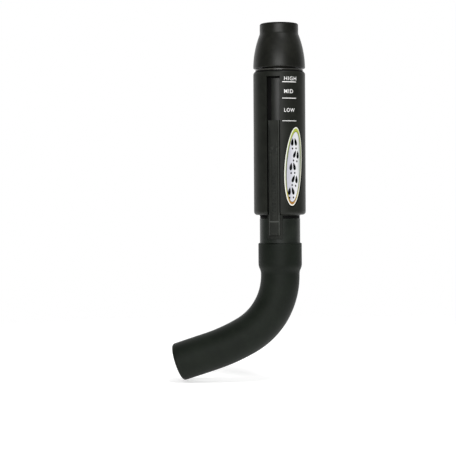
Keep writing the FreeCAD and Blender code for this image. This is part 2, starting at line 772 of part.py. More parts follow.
def make_resonator_tube():
    """Moulded rubber elbow: a cuff that turns on the nipple, then two tangent bends and a tail."""
    body = new_body("resonator_tube")
    cuff = turned(body, "cuff", [
        ("cuff_bore_r", "cuff_top"),
        ("cuff_bore_r", "cuff_bead_top"),
        ("cuff_bead_r", "cuff_bead_top"),
        ("cuff_bead_r", "cuff_bead_foot"),
        ("cuff_bore_r", "cuff_bead_ramp"),
        ("cuff_bore_r", "cuff_seat"),
        ("tube_bore_r", "cuff_seat"),
        ("tube_bore_r", "cuff_neck"),
        ("tube_r", "cuff_neck"),
        ("cuff_r", "cuff_foot"),
        ("cuff_r", "cuff_top"),
    ])
    lip = rounded(body, "cuff_lip", cuff, rim("cuff_r", "cuff_top"), "cuff_lip_round")
    spine = outline(body, "spine", "XZ_Plane", [
        ("zero", "cuff_neck"),
        ("zero", "bend_level"),
        ("bend_x", "bend_z", "-bend_radius"),
        ("sweep_x", "sweep_z", "-sweep_radius"),
        ("tail_x", "tail_z"),
    ], closed=False)
    section = ring_sketch(body, "tube_section", "tube_r", "cuff_neck")
    inner = section.addGeometry(Part.Circle(V(0, 0, 0), V(0, 0, 1), number("tube_bore_r")))
    section.addConstraint(Sketcher.Constraint("Coincident", inner, 3, -1, 1))
    fixed = section.addConstraint(Sketcher.Constraint("Radius", inner, number("tube_bore_r")))
    section.setExpression("Constraints[%d]" % fixed, cell("tube_bore_r"))
    doc.recompute()
    pipe = body.newObject("PartDesign::AdditivePipe", "elbow")
    pipe.Profile = section
    pipe.Spine = (spine, [])
    mouth = V(number("tail_x"), 0, number("tail_z"))

    def at_mouth(edge):
        return isinstance(edge.Curve, Part.Circle) and edge.Curve.Center.distanceToPoint(mouth) < NEAR
    rounded(body, "mouth_round", pipe, at_mouth, "tube_rim_round")
    body.Placement = FreeCAD.Placement(V(0, 0, 0), FreeCAD.Rotation(V(0, 0, 1), number("tube_lean")))
    body.setExpression("Placement.Rotation.Angle", "Dims.tube_lean * 1deg")
    return body


# ---------------------------------------------------------------- badge

def make_side_badge():
    """Thin oval badge, flush in its seat and curved with the barrel, to the right of the slot."""
    outer = doc.addObject("Part::Cylinder", "badge_outer")
    outer.setExpression("Radius", "Dims.barrel_r")
    inner = doc.addObject("Part::Cylinder", "badge_inner")
    inner.setExpression("Radius", "Dims.barrel_r - Dims.badge_thick")
    for cylinder in (outer, inner):
        cylinder.setExpression("Height", "Dims.barrel_len")
        cylinder.setExpression("Placement.Base.z", "-Dims.barrel_len / 2")
    shell = doc.addObject("Part::Cut", "badge_shell")
    shell.Base = outer
    shell.Tool = inner
    oval = doc.addObject("Part::Ellipse", "badge_oval")
    oval.setExpression("MajorRadius", "Dims.badge_half_tall")
    oval.setExpression("MinorRadius", "Dims.badge_half_wide")
    stand_up = FreeCAD.Rotation(V(1, 0, 0), 90)
    long_way_up = FreeCAD.Rotation(V(0, 1, 0), -90 + number("badge_tilt"))
    oval.Placement = FreeCAD.Placement(V(0, 0, 0), long_way_up * stand_up)
    prism = doc.addObject("Part::Extrusion", "badge_prism")
    prism.Base = oval
    prism.DirMode = "Custom"
    prism.Dir = V(0, -1, 0)
    prism.setExpression("LengthFwd", "Dims.barrel_r + Dims.cut_over")
    prism.Solid = True
    badge = doc.addObject("Part::Common", "side_badge")
    badge.Label = "side_badge"
    badge.Base = shell
    badge.Tool = prism
    badge.Placement = FreeCAD.Placement(V(0, 0, 0), FreeCAD.Rotation(V(0, 0, 1), number("badge_turn")))
    badge.setExpression("Placement.Base.z", "Dims.badge_level")
    badge.setExpression("Placement.Rotation.Angle", "Dims.badge_turn * 1deg")
    return badge


# ---------------------------------------------------------------- build, check and write

def middle(foot_name, top_name):
    return "(Dims.%s + Dims.%s) / 2" % (foot_name, top_name)


def groove_ring(label, groove):
    """The O-ring that lies on the floor of a turned groove."""
    major = "Dims.%s_groove_r + Dims.oring_r" % groove
    return rubber_ring(label, major, middle(groove + "_groove_foot", groove + "_groove_top"))


side_badge = make_side_badge()
nodes = [
    make_mouthpiece(),
    make_mouthpiece_core(),
    make_neck_collar(),
    groove_ring("neck_o_ring", "neck"),
    make_outer_barrel(side_badge),
    make_inner_barrel(),
    make_barrel_bush(),
    make_tone_slider(),
    make_grip_strip(),
    make_ring_carrier(),
    make_tension_o_ring(),
    make_tone_board(),
    make_reed(),
    make_reed_wedge(),
    make_insert_plug(),
    groove_ring("insert_o_ring", "plug"),
    make_tube_adapter(),
    groove_ring("adapter_o_ring", "adapter"),
    make_foot_gasket(),
    make_resonator_tube(),
    side_badge,
]
doc.recompute()

for item in doc.Objects:
    if "Invalid" in item.State or "Error" in item.State:
        raise RuntimeError("%s failed: %s" % (item.Label, item.State))
    if item.TypeId in ("PartDesign::Pocket", "PartDesign::SubtractiveLoft"):
        if item.Shape.Volume > item.BaseFeature.Shape.Volume - LEAST_CUT:
            raise RuntimeError("%s cuts nothing" % item.Label)

for node in nodes:
    shape = node.Shape
    if shape.isNull() or not shape.isValid() or not shape.Solids:
        raise RuntimeError("%s has no valid solid" % node.Label)
    box = shape.BoundBox
    print("%-16s %2d solid %9.1f mm3  x %7.2f %7.2f  y %7.2f %7.2f  z %8.2f %8.2f" % (
        node.Label, len(shape.Solids), shape.Volume,
        box.XMin, box.XMax, box.YMin, box.YMax, box.ZMin, box.ZMax))

os.makedirs("parts", exist_ok=True)
for node in nodes:
    node.Shape.exportStep("parts/%s.step" % node.Label)
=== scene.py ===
"""Looks of the breath-blown deer grunt call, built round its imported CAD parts.

Lengths in the tables below are in millimetres, and mm() turns them into Blender's metres.
Angles round the barrel are in degrees from the slot side (-Y), growing towards +X.
"""
import json
import math

import bmesh
import bpy
from mathutils import Matrix, Vector, noise


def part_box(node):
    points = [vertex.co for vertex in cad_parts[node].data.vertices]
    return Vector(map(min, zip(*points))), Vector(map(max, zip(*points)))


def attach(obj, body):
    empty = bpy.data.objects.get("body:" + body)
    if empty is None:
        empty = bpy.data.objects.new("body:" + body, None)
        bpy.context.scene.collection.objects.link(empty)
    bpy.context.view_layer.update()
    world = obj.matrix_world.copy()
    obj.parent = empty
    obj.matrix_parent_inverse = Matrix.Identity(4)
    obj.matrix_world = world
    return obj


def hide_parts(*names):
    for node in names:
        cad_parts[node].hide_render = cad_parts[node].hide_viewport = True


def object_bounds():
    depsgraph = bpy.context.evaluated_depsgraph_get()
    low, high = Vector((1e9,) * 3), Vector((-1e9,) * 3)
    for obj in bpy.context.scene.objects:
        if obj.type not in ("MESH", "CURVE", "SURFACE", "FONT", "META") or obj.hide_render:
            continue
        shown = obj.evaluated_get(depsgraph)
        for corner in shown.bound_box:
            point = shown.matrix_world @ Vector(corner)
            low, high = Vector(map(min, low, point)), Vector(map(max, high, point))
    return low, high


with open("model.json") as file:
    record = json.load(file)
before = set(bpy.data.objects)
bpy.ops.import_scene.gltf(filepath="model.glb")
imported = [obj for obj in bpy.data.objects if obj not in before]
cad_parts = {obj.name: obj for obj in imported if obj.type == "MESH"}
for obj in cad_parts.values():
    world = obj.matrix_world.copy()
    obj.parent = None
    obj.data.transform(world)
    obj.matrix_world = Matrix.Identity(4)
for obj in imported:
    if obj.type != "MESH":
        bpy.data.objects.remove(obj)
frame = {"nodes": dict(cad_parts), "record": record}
cad_low, cad_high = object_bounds()
nodes = frame["nodes"]

MM = 0.001
SLOTS = {part["node"]: part["material_slot"] for part in frame["record"]["subparts"]}

# ---------------------------------------------------------------- sizes taken from the frame, in mm


def cad_box(node):
    """Lowest and highest corner of a CAD node, in millimetres."""
    low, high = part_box(node)
    return Vector(low) / MM, Vector(high) / MM


BARREL_R = cad_box("outer_barrel")[1].x
BARREL_FOOT = cad_box("outer_barrel")[0].z
BARREL_TOP = cad_box("outer_barrel")[1].z
MOUTH_FOOT = cad_box("mouthpiece")[0].z
MOUTH_TOP = cad_box("mouthpiece")[1].z
CUFF_TOP = cad_box("resonator_tube")[1].z
STRIP_LOW, STRIP_HIGH = cad_box("grip_strip")


# ---------------------------------------------------------------- mesh helpers

def mm(x, y, z):
    return Vector((x, y, z)) * MM


def make_piece(name, mesh_bm, finish, body, crease=38):
    """Turn a bmesh into a smooth-shaded piece that rides on a body."""
    bmesh.ops.remove_doubles(mesh_bm, verts=mesh_bm.verts, dist=1e-7)
    bmesh.ops.recalc_face_normals(mesh_bm, faces=mesh_bm.faces)
    mesh = bpy.data.meshes.new(name)
    mesh_bm.to_mesh(mesh)
    mesh_bm.free()
    for polygon in mesh.polygons:
        polygon.use_smooth = True
    mesh.set_sharp_from_angle(angle=math.radians(crease))
    mesh.materials.append(finish)
    piece = bpy.data.objects.new(name, mesh)
    bpy.context.scene.collection.objects.link(piece)
    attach(piece, body)
    return piece


def soften(corners, steps=6):
    """Points along an outline of (along, out, round) corners, each corner rounded by its own length."""
    points = []
    count = len(corners)
    for index, (along, out, reach) in enumerate(corners):
        here = Vector((along, out))
        if reach == 0:
            points.append(here)
            continue
        before = Vector(corners[index - 1][:2])
        after = Vector(corners[(index + 1) % count][:2])
        start = here + (before - here).normalized() * reach
        end = here + (after - here).normalized() * reach
        for step in range(steps + 1):
            t = step / steps
            points.append(start * (1 - t) ** 2 + here * (2 * t * (1 - t)) + end * t ** 2)
    return points


def skin(outline, spine, around, relief=None):
    """Closed skin swept from an outline of (along, out) points; spine(along) gives centre and two axes."""
    made = bmesh.new()
    rings = []
    for along, out in outline:
        centre, side, up = spine(along)
        ring = []
        for step in range(around):
            turn = 2 * math.pi * step / around
            reach = out + (relief(along, out, turn) if relief else 0)
            spoke = side * math.cos(turn) + up * math.sin(turn)
            ring.append(made.verts.new((centre + spoke * reach) * MM))
        rings.append(ring)
    for index, ring in enumerate(rings):
        following = rings[(index + 1) % len(rings)]
        for step in range(around):
            after = (step + 1) % around
            made.faces.new((ring[step], ring[after], following[after], following[step]))
    return made


def mould_seams(out, turn, rise, width):
    """Height of the two mould seams that run along opposite sides of a piece."""
    height = 0
    for line in (0, math.pi):
        off = math.remainder(turn - line, 2 * math.pi) * out
        height += rise * math.exp(-(off / width) ** 2)
    return height


def unevenness(along, turn, around_waves, along_waves):
    """Slow lumps of a soft moulding, within 1 either way."""
    return noise.noise(Vector((math.cos(turn) * around_waves, math.sin(turn) * around_waves,
                               along * along_waves)))


def upright(level):
    """Spine of a turned piece: the barrel's own axis."""
    return Vector((0, 0, level)), Vector((1, 0, 0)), Vector((0, 1, 0))


def wrapped(turn, across, up, out):
    """Point on the barrel: a flat print laid on from the side that the turn gives."""
    swing = math.radians(turn) + math.asin(across / BARREL_R)
    return mm(out * math.sin(swing), -out * math.cos(swing), up)


def leaned(across, up, lean):
    """Turn a print's own axes so that its top leans towards growing angles."""
    tilt = math.radians(lean)
    return across * math.cos(tilt) + up * math.sin(tilt), up * math.cos(tilt) - across * math.sin(tilt)


def add_decal(made, outline, place, low, high, rings, hub=(0, 0)):
    """Thin closed plate with the given outline, wrapped on the barrel from radius low to high.

    place(across, up) gives (turn, across, up) on the barrel.
    """
    def ring_at(share, out):
        ring = []
        for across, up in outline:
            turn, a, u = place(hub[0] + (across - hub[0]) * share, hub[1] + (up - hub[1]) * share)
            ring.append(made.verts.new(wrapped(turn, a, u, out)))
        return ring

    def join(lower, upper):
        for step in range(len(outline)):
            after = (step + 1) % len(outline)
            made.faces.new((lower[step], lower[after], upper[after], upper[step]))

    def cap(outer, out):
        last = outer
        for index in range(rings - 1, 0, -1):
            inner = ring_at(index / rings, out)
            join(last, inner)
            last = inner
        turn, a, u = place(*hub)
        middle = made.verts.new(wrapped(turn, a, u, out))
        for step in range(len(outline)):
            made.faces.new((last[step], last[(step + 1) % len(outline)], middle))

    foot = ring_at(1, low)
    shoulder = ring_at(1, high - (high - low) * 0.3)
    top = ring_at(1 - 0.3 * (high - low) / max(abs(p[0]) + abs(p[1]) for p in outline), high)
    join(foot, shoulder)
    join(shoulder, top)
    cap(top, high)
    cap(foot, low)


# ---------------------------------------------------------------- material helpers

def paint(red, green, blue):
    """Linear colour from 0-255 screen values."""
    def linear(value):
        v = value / 255
        return v / 12.92 if v <= 0.04045 else ((v + 0.055) / 1.055) ** 2.4
    return linear(red), linear(green), linear(blue), 1.0


class Finish:
    """A procedural material being built; every method returns the socket it made."""

    def __init__(self, name, **constants):
        self.material = bpy.data.materials.new(name)
        self.material.use_nodes = True
        self.tree = self.material.node_tree
        self.shader = self.tree.nodes["Principled BSDF"]
        for key, value in constants.items():
            self.shader.inputs[key.replace("_", " ")].default_value = value
        self.place = self.add("ShaderNodeTexCoord").outputs["Object"]

    def add(self, kind, inputs=None, **settings):
        node = self.tree.nodes.new(kind)
        for key, value in settings.items():
            setattr(node, key, value)
        for key, value in (inputs or {}).items():
            if isinstance(value, bpy.types.NodeSocket):
                self.tree.links.new(value, node.inputs[key])
            else:
                node.inputs[key].default_value = value
        return node

    def set(self, key, value):
        self.tree.links.new(value, self.shader.inputs[key])

    def grain(self, size, detail=3, rough=0.55, stretch=(1, 1, 1)):
        """Noise whose blobs are about size mm across, stretched along the axes."""
        scale = tuple(1 / (MM * size * s) for s in stretch)
        at = self.add("ShaderNodeMapping", {"Vector": self.place, "Scale": scale}).outputs[0]
        return self.add("ShaderNodeTexNoise",
                        {"Vector": at, "Scale": 1.0, "Detail": detail, "Roughness": rough}).outputs["Fac"]

    def span(self, value, low, high, to_low=0.0, to_high=1.0):
        """Smooth step of a value between two limits."""
        return self.add("ShaderNodeMapRange",
                        {"Value": value, "From Min": low, "From Max": high,
                         "To Min": to_low, "To Max": to_high},
                        interpolation_type="SMOOTHSTEP").outputs[0]

    def maths(self, kind, first, second=0.0):
        return self.add("ShaderNodeMath", {0: first, 1: second}, operation=kind).outputs[0]

    def mix(self, share, first, second):
        return self.add("ShaderNodeMix", {0: share, 6: first, 7: second}, data_type="RGBA").outputs[2]

    def axis(self, name):
        return self.add("ShaderNodeSeparateXYZ", {0: self.place}).outputs[name]

    def along(self, direction):
        """Distance along a direction, in metres."""
        return self.add("ShaderNodeVectorMath", {0: self.place, 1: direction},
                        operation="DOT_PRODUCT").outputs["Value"]

    def bump(self, height, depth, under=None):
        """Bump of a 0-1 height, depth in mm."""
        inputs = {"Height": height, "Strength": 1.0, "Distance": depth * MM}
        if under:
            inputs["Normal"] = under
        return self.add("ShaderNodeBump", inputs).outputs[0]

    def above(self, level, reach):
        """1 above a level, in mm, coming in over reach mm."""
        return self.span(self.axis("Z"), level * MM, (level + reach) * MM)

    def near(self, value, level, reach):
        """1 where a value in metres is at a level, in mm, fading out over reach mm."""
        off = self.maths("ABSOLUTE", self.maths("SUBTRACT", value, level * MM))
        return self.span(off, 0, reach * MM, 1.0, 0.0)


def paint_dark_shade(look, colour, roughness, normal, shade):
    """Painted shade: where shade is 1 the surface is painted dead black and matt, and leans over like an
    undercut.
    """
    colour = look.mix(shade, colour, paint(2, 2, 2))
    roughness = look.maths("MAXIMUM", roughness, look.maths("MULTIPLY", shade, 0.95))
    return colour, roughness, look.bump(shade, 1.6, normal)


def moulded(name, dark, light, rough, grain_size=0.35, grain_depth=0.006, edges=(), rubbed=None,
            painted_shade=None, **constants):
    """Injection-moulded plastic: mottled colour, fine spark-eroded grain, faint flow waves, rubbed edges.

    edges are (level, reach) pairs along the barrel where handling has polished and lightened it.
    rubbed(look) gives the share of a spot lightened evenly, as handling wear and as a painted highlight,
    such as a corner.
    painted_shade(look) gives the share of a spot painted dead black and matt as shade, as in a groove.
    """
    look = Finish(name, **{"Specular_IOR_Level": 0.28, **constants})
    mottle = look.grain(9, 4, 0.6)
    speckle = look.grain(0.22, 2)
    share = look.maths("ADD", look.maths("MULTIPLY", mottle, 0.7), look.maths("MULTIPLY", speckle, 0.3))
    colour = look.mix(look.span(share, 0.32, 0.68), paint(*dark), paint(*light))
    streaks = look.grain(0.5, 3, 0.6, stretch=(1, 1, 26))
    gloss = look.maths("ADD", look.maths("MULTIPLY", streaks, 0.10), look.maths("MULTIPLY", mottle, 0.08))
    roughness = look.maths("ADD", gloss, rough - 0.09)
    if edges:
        patchy = look.span(look.grain(1.6, 4, 0.65), 0.42, 0.66)
    for height, reach in edges:
        worn = look.maths("MULTIPLY", look.near(look.axis("Z"), height, reach), patchy)
        colour = look.mix(look.maths("MULTIPLY", worn, 0.5), colour, paint(*(v + 26 for v in light)))
        roughness = look.maths("SUBTRACT", roughness, look.maths("MULTIPLY", worn, 0.12))
    if rubbed:
        worn = rubbed(look)
        colour = look.mix(look.maths("MULTIPLY", worn, 0.8), colour, paint(*(v + 44 for v in light)))
    waves = look.bump(look.grain(14, 2), 0.05)
    normal = look.bump(look.grain(grain_size, 3, 0.6), grain_depth, waves)
    if painted_shade:
        colour, roughness, normal = paint_dark_shade(look, colour, roughness, normal, painted_shade(look))
    look.set("Base Color", colour)
    look.set("Roughness", roughness)
    look.set("Normal", normal)
    return look.material


def rubber(name, dark, light, rough, bloom=(86, 88, 84), grain_size=0.45, grain_depth=0.012, painted_shade=None,
           **constants):
    """Moulded rubber: matt, finely pebbled, with a faint uneven bloom and a few lint specks."""
    look = Finish(name, **{"Specular_IOR_Level": 0.28, **constants})
    patch = look.grain(12, 5, 0.6)
    colour = look.mix(look.span(patch, 0.3, 0.7), paint(*dark), paint(*light))
    haze = look.maths("MULTIPLY", look.span(look.grain(5, 5, 0.7), 0.5, 0.8), 0.07)
    colour = look.mix(haze, colour, paint(*bloom))
    lint = look.maths("MULTIPLY", look.span(look.grain(0.5, 1), 0.74, 0.8), 0.25)
    colour = look.mix(lint, colour, paint(*bloom))
    roughness = look.maths("ADD", look.maths("MULTIPLY", patch, 0.14), rough - 0.07)
    soft = look.bump(look.grain(7, 3), 0.04)
    normal = look.bump(look.grain(grain_size, 4, 0.65), grain_depth, soft)
    if painted_shade:
        colour, roughness, normal = paint_dark_shade(look, colour, roughness, normal, painted_shade(look))
    look.set("Base Color", colour)
    look.set("Roughness", roughness)
    look.set("Normal", normal)
    return look.material


# ---------------------------------------------------------------- materials, one for each slot

BAR_HALF = 3.85           # just outside the slider's bar, where its flange starts
FACE_CORNER = (1.4, 2.2)  # depths under the barrel's surface at which the bar's rubbed and painted-highlight corner fades out
SLOT_TOP = BARREL_TOP - 4.45
WALL_SHADOW = 2.5         # the slot's floor is painted dark left of this, as the shadow of the outer barrel's wall
TOP_SHADOW = 1.3          # and painted dark as shadow this far down from the slot's top


def barrel_plastic():
    """Black glass-filled nylon of the barrel, rubbed at its foot; its top rim is painted dead black as the
    neck's shade.
    """
    return moulded("barrel_plastic", (24, 26, 22), (35, 37, 32), 0.45,
                   edges=((BARREL_FOOT + 2.2, 0.9),),
                   painted_shade=lambda look: look.above(BARREL_TOP - 1.05, 0.4), Specular_IOR_Level=0.19)


def inner_plastic():
    """Inner barrel with painted shadow: dead black along the side and the top of the slot, where the outer
    barrel's wall would shade it.
    """
    def painted_wall_shadow(look):
        # Painted shadow beside the slot's left wall and under the slot's top.
        side = look.span(look.axis("X"), -WALL_SHADOW * MM, (0.35 - WALL_SHADOW) * MM, 1.0, 0.0)
        shadow = look.maths("MAXIMUM", side, look.above(SLOT_TOP - TOP_SHADOW, 0.3))
        return look.maths("MULTIPLY", shadow, look.span(look.axis("Y"), -3 * MM, 0, 1.0, 0.0))
    return moulded("inner_plastic", (22, 24, 21), (34, 36, 32), 0.36, painted_shade=painted_wall_shadow)


def neck_plastic():
    return moulded("neck_plastic", (66, 66, 62), (84, 84, 79), 0.24, Specular_IOR_Level=0.22)


def slider_plastic():
    """Slider rubbed glossy by the thumb round the top of the ribs; its flange is painted dark as shade
    inside the slot, and its bar's corners are lightened as rubbed wear and a painted highlight.
    """
    # Painted shade: the flange beside the bar is made dead black inside the slot.
    def painted_slot_shade(look):
        side = look.maths("ABSOLUTE", look.axis("X"))
        return look.maths("MULTIPLY", look.span(side, BAR_HALF * MM, (BAR_HALF + 0.25) * MM),
                          look.above(BARREL_FOOT, 0.6))

    # Rubbed wear and painted highlight: the bar's side corners and its face under the strip are lightened.
    def corners(look):
        side = look.maths("ABSOLUTE", look.axis("X"))
        rim = look.maths("MAXIMUM", look.near(side, BAR_HALF - 0.15, 0.6),
                         look.near(look.axis("Z"), STRIP_LOW.z - 0.6, 0.7))
        start, end = ((depth - BARREL_R) * MM for depth in FACE_CORNER)
        return look.maths("MULTIPLY", rim, look.span(look.axis("Y"), start, end, 1.0, 0.0))
    return moulded("slider_plastic", (31, 33, 30), (42, 44, 40), 0.6, edges=((-6, 9),), rubbed=corners,
                   painted_shade=painted_slot_shade, Specular_IOR_Level=0.13)


def adapter_plastic():
    return moulded("adapter_plastic", (20, 25, 20), (31, 36, 30), 0.4,
                   edges=((-53.6, 0.8),))


def liner_plastic():
    return moulded("liner_plastic", (26, 26, 26), (38, 38, 37), 0.4)


def bush_plastic():
    """Slippery acetal bush, a little translucent and paler."""
    return moulded("bush_plastic", (46, 46, 45), (62, 62, 60), 0.5, grain_size=0.6)


def carrier_plastic():
    """Natural nylon cage, milky and waxy."""
    return moulded("carrier_plastic", (186, 180, 160), (214, 209, 190), 0.42, grain_depth=0.004,
                   Subsurface_Weight=0.25, Subsurface_Scale=0.002)


def board_plastic():
    """Polished clear-grey tone board."""
    return moulded("board_plastic", (66, 70, 76), (88, 93, 99), 0.2, grain_depth=0.002, Coat_Weight=0.2)


def plug_plastic():
    return moulded("plug_plastic", (40, 40, 42), (55, 55, 56), 0.42)


def reed_film():
    """Milky polyester reed with a brushed direction along its length."""
    look = Finish("reed_film", Subsurface_Weight=0.3, Subsurface_Scale=0.001)
    brush = look.grain(0.15, 3, 0.6, stretch=(1, 1, 60))
    cloud = look.grain(6, 3)
    look.set("Base Color", look.mix(look.span(cloud, 0.3, 0.7), paint(214, 218, 222), paint(234, 236, 238)))
    look.set("Roughness", look.maths("ADD", look.maths("MULTIPLY", brush, 0.18), 0.16))
    look.set("Normal", look.bump(brush, 0.002))
    return look.material


def mouth_rubber():
    """Soft black mouthpiece with a satin skin; its rounded top rim is painted dead black as shade."""
    return rubber("mouth_rubber", (18, 19, 15), (28, 29, 24), 0.4, grain_size=0.3, grain_depth=0.005,
                  painted_shade=lambda look: look.above(MOUTH_TOP - 0.9, 0.5))


def tube_rubber():
    """Green-black moulded tube, matt."""
    return rubber("tube_rubber", (11, 17, 10), (18, 24, 17), 0.56, bloom=(50, 62, 48),
                  Specular_IOR_Level=0.18)


def grip_rubber():
    return rubber("grip_rubber", (31, 33, 30), (42, 44, 40), 0.55, grain_size=0.3, Specular_IOR_Level=0.15)


def seal_rubber():
    return rubber("seal_rubber", (3, 3, 3), (8, 8, 8), 0.65, bloom=(22, 22, 22), grain_size=0.25,
                  grain_depth=0.004, Specular_IOR_Level=0.1)


def tension_rubber():
    return rubber("tension_rubber", (92, 36, 26), (122, 52, 38), 0.4, bloom=(160, 110, 96), grain_size=0.25,
                  grain_depth=0.004)


def wedge_rubber():
    return rubber("wedge_rubber", (58, 58, 60), (80, 80, 82), 0.6)


# ---------------------------------------------------------------- mouthpiece

BORE_R = 7.0
LINER_R = 14.0
LINER_TIP_R = 10.0
LINER_TOP = MOUTH_FOOT + 26.0
LINER_CONE = MOUTH_FOOT + 18.0
LINER_NECK = MOUTH_FOOT + 13.0
TIP_R = 13.65
TIP_FOOT = MOUTH_TOP - 7.2
FLARE_IN = BARREL_R - TIP_R
FLARE_GAP = 1.4
FLARE_ROUND = ((TIP_FOOT - MOUTH_FOOT) ** 2 + FLARE_IN ** 2) / (2 * FLARE_IN)


def flare(level):
    """Radius of the mouthpiece's flare: one long arc from the barrel's size to the tip's."""
    rise = level - MOUTH_FOOT
    return BARREL_R - FLARE_ROUND + math.sqrt(FLARE_ROUND ** 2 - rise ** 2)


def make_mouthpiece(finish):
    corners = [(MOUTH_FOOT, LINER_R, 0.25), (MOUTH_FOOT, BARREL_R, 0.7)]
    steps = 22
    for step in range(1, steps):
        level = MOUTH_FOOT + FLARE_GAP + (TIP_FOOT - 0.5 - MOUTH_FOOT - FLARE_GAP) * step / steps
        corners.append((level, flare(level), 0))
    corners += [
        (TIP_FOOT, TIP_R, 0.9),
        (TIP_FOOT + 3, TIP_R + 0.02, 0),
        (MOUTH_TOP, TIP_R, 1.35),
        (MOUTH_TOP, BORE_R, 0.8),
        (LINER_TOP, BORE_R, 0.15),
        (LINER_TOP, LINER_TIP_R, 0),
        (LINER_CONE, LINER_TIP_R, 0),
        (LINER_NECK, LINER_R, 0),
    ]

    def relief(along, out, turn):
        """Two mould seams, and the slight unevenness of a soft moulding."""
        if out < TIP_R - 0.3 or along < MOUTH_FOOT + 0.3:
            return 0
        return mould_seams(out, turn, 0.05, 0.22) + 0.035 * unevenness(along, turn, 1.6, 0.12)

    made = skin(soften(corners), upright, around=360, relief=relief)
    piece = make_piece("mouthpiece_skin", made, finish, "mouthpiece")
    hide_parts("mouthpiece")


# ---------------------------------------------------------------- resonator tube

STRAIGHT = 23.1
BEND_R = 50.0
BEND_TURN = math.radians(60)
SWEEP_R = 140.0
SWEEP_TURN = math.radians(11.3)
TAIL = 25.4
TUBE_LEAN = math.radians(8.15)
TUBE_R = 13.75
TUBE_BORE_R = 11.0
CUFF_R = 15.45
CUFF_BORE_R = 12.65
CUFF_RINGS = (2.5, 6, 10, 13)
CUFF_DEPTH = 18.0
TAPER_FROM = 16.4
TAPER_TO = 20.2
TAPER_ROUND = 1.8
BEAD_R = 13.25
BEAD_GROOVE = (11.85, 13.95, 15.3)
GASKET_BORE_R = 12.65
END_ROUND = 2.25
BEND_FROM = 22.2
BEND_END = STRAIGHT + BEND_R * BEND_TURN
SWEEP_END = BEND_END + SWEEP_R * SWEEP_TURN
TUBE_END = SWEEP_END + TAIL


def tube_spine(along):
    """Centre and axes of the tube at a length along it from the cuff's top."""
    x, z, turned = 0.0, CUFF_TOP - min(along, STRAIGHT), 0.0
    for start, end, radius in ((STRAIGHT, BEND_END, BEND_R), (BEND_END, SWEEP_END, SWEEP_R)):
        if along > start:
            turn = (min(along, end) - start) / radius
            x -= radius * (math.cos(turned) - math.cos(turned + turn))
            z -= radius * (math.sin(turned + turn) - math.sin(turned))
            turned += turn
    if along > SWEEP_END:
        x -= (along - SWEEP_END) * math.sin(turned)
        z -= (along - SWEEP_END) * math.cos(turned)
    lean = Matrix.Rotation(TUBE_LEAN, 3, "Z")
    side = Vector((math.cos(turned), 0, -math.sin(turned)))
    return lean @ Vector((x, 0, z)), lean @ side, lean @ Vector((0, 1, 0))


def make_tube(finish):
    corners = [
        (0, CUFF_BORE_R, 0.3),
        (0, CUFF_R, 0.85),
    ]
    for along in CUFF_RINGS:
        corners.append((along, CUFF_R, 0))
    corners += [(TAPER_FROM, CUFF_R, TAPER_ROUND), (TAPER_TO, TUBE_R, TAPER_ROUND)]
    steps = 84
    for step in range(steps):
        along = BEND_FROM + (TUBE_END - END_ROUND - 0.2 - BEND_FROM) * step / (steps - 1)
        corners.append((along, TUBE_R, 0))
    corners += [(TUBE_END, TUBE_R, END_ROUND), (TUBE_END, TUBE_BORE_R, 0.45)]
    for step in range(steps):
        along = TUBE_END - 1.0 - (TUBE_END - 1.0 - BEND_FROM) * step / (steps - 1)
        corners.append((along, TUBE_BORE_R, 0))
    groove_top, groove_foot, ramp_foot = BEAD_GROOVE
    corners += [
        (CUFF_DEPTH, TUBE_BORE_R, 0.15),
        (CUFF_DEPTH, CUFF_BORE_R, 0.1),
        (ramp_foot, CUFF_BORE_R, 0),
        (groove_foot, BEAD_R, 0.1),
        (groove_top, BEAD_R, 0.1),
        (groove_top, CUFF_BORE_R, 0.1),
    ]

    def relief(along, out, turn):
        """Mould seam in the plane of the bend, and a soft moulding's unevenness."""
        if out < TUBE_R - 0.4 or along < 0.4:
            return 0
        return mould_seams(out, turn, 0.06, 0.24) + 0.07 * unevenness(along, turn, 1.4, 0.08)

    made = skin(soften(corners), tube_spine, around=320, relief=relief)
    piece = make_piece("tube_skin", made, finish, "tube")
    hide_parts("resonator_tube")


# ---------------------------------------------------------------- seals

CORD_R = 0.6
SEALS = {"neck_o_ring": "neck_seal", "insert_o_ring": "plug_seal", "adapter_o_ring": "adapter_seal"}


def make_seal(node, name, finish):
    """O-ring with the thin flash lines of its mould on the inside and the outside."""
    low, high = cad_box(node)
    middle = (low.z + high.z) / 2
    ring_r = high.x - CORD_R
    corners = []
    steps = 48
    for step in range(steps):
        turn = 2 * math.pi * step / steps
        flash = 0.02 * math.exp(-(math.sin(turn) / 0.12) ** 2)
        reach = CORD_R - 0.025 + flash
        corners.append((middle + reach * math.sin(turn), ring_r + reach * math.cos(turn)))
    piece = make_piece(name, skin(corners, upright, around=240), finish, "barrel", crease=60)
    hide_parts(node)


def make_foot_seal(finish):
    """Gasket under the barrel: a flat ring with rounded, slightly bulging sides."""
    low, high = cad_box("foot_gasket")
    inner = GASKET_BORE_R
    corners = [
        (low.z, inner, 0.2),
        (low.z, high.x - 0.05, 0.45),
        ((low.z + high.z) / 2, high.x, 0),
        (high.z, high.x - 0.05, 0.45),
        (high.z, inner, 0.2),
    ]

    def relief(along, out, turn):
        return 0.015 * unevenness(along, turn, 2.2, 0.4) if out > inner + 0.5 else 0

    made = skin(soften(corners), upright, around=240, relief=relief)
    piece = make_piece("foot_seal", made, finish, "barrel")
    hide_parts("foot_gasket")


# ---------------------------------------------------------------- grip strip

RIB_PITCH = 2.3
RIB_THICK = 0.9
RIB_COUNT = 17
FIRST_RIB_TOP = -13.8
RIB_RISE = 0.3


def rib_height(level):
    """Height of the strip's face above its base, 0 to 1, with rounded ribs."""
    for index in range(RIB_COUNT):
        centre = FIRST_RIB_TOP - RIB_THICK / 2 - index * RIB_PITCH
        off = abs(level - centre) / (RIB_THICK / 2 + 0.12)
        if off < 1:
            return math.sqrt(1 - off ** 4)
    return 0.0


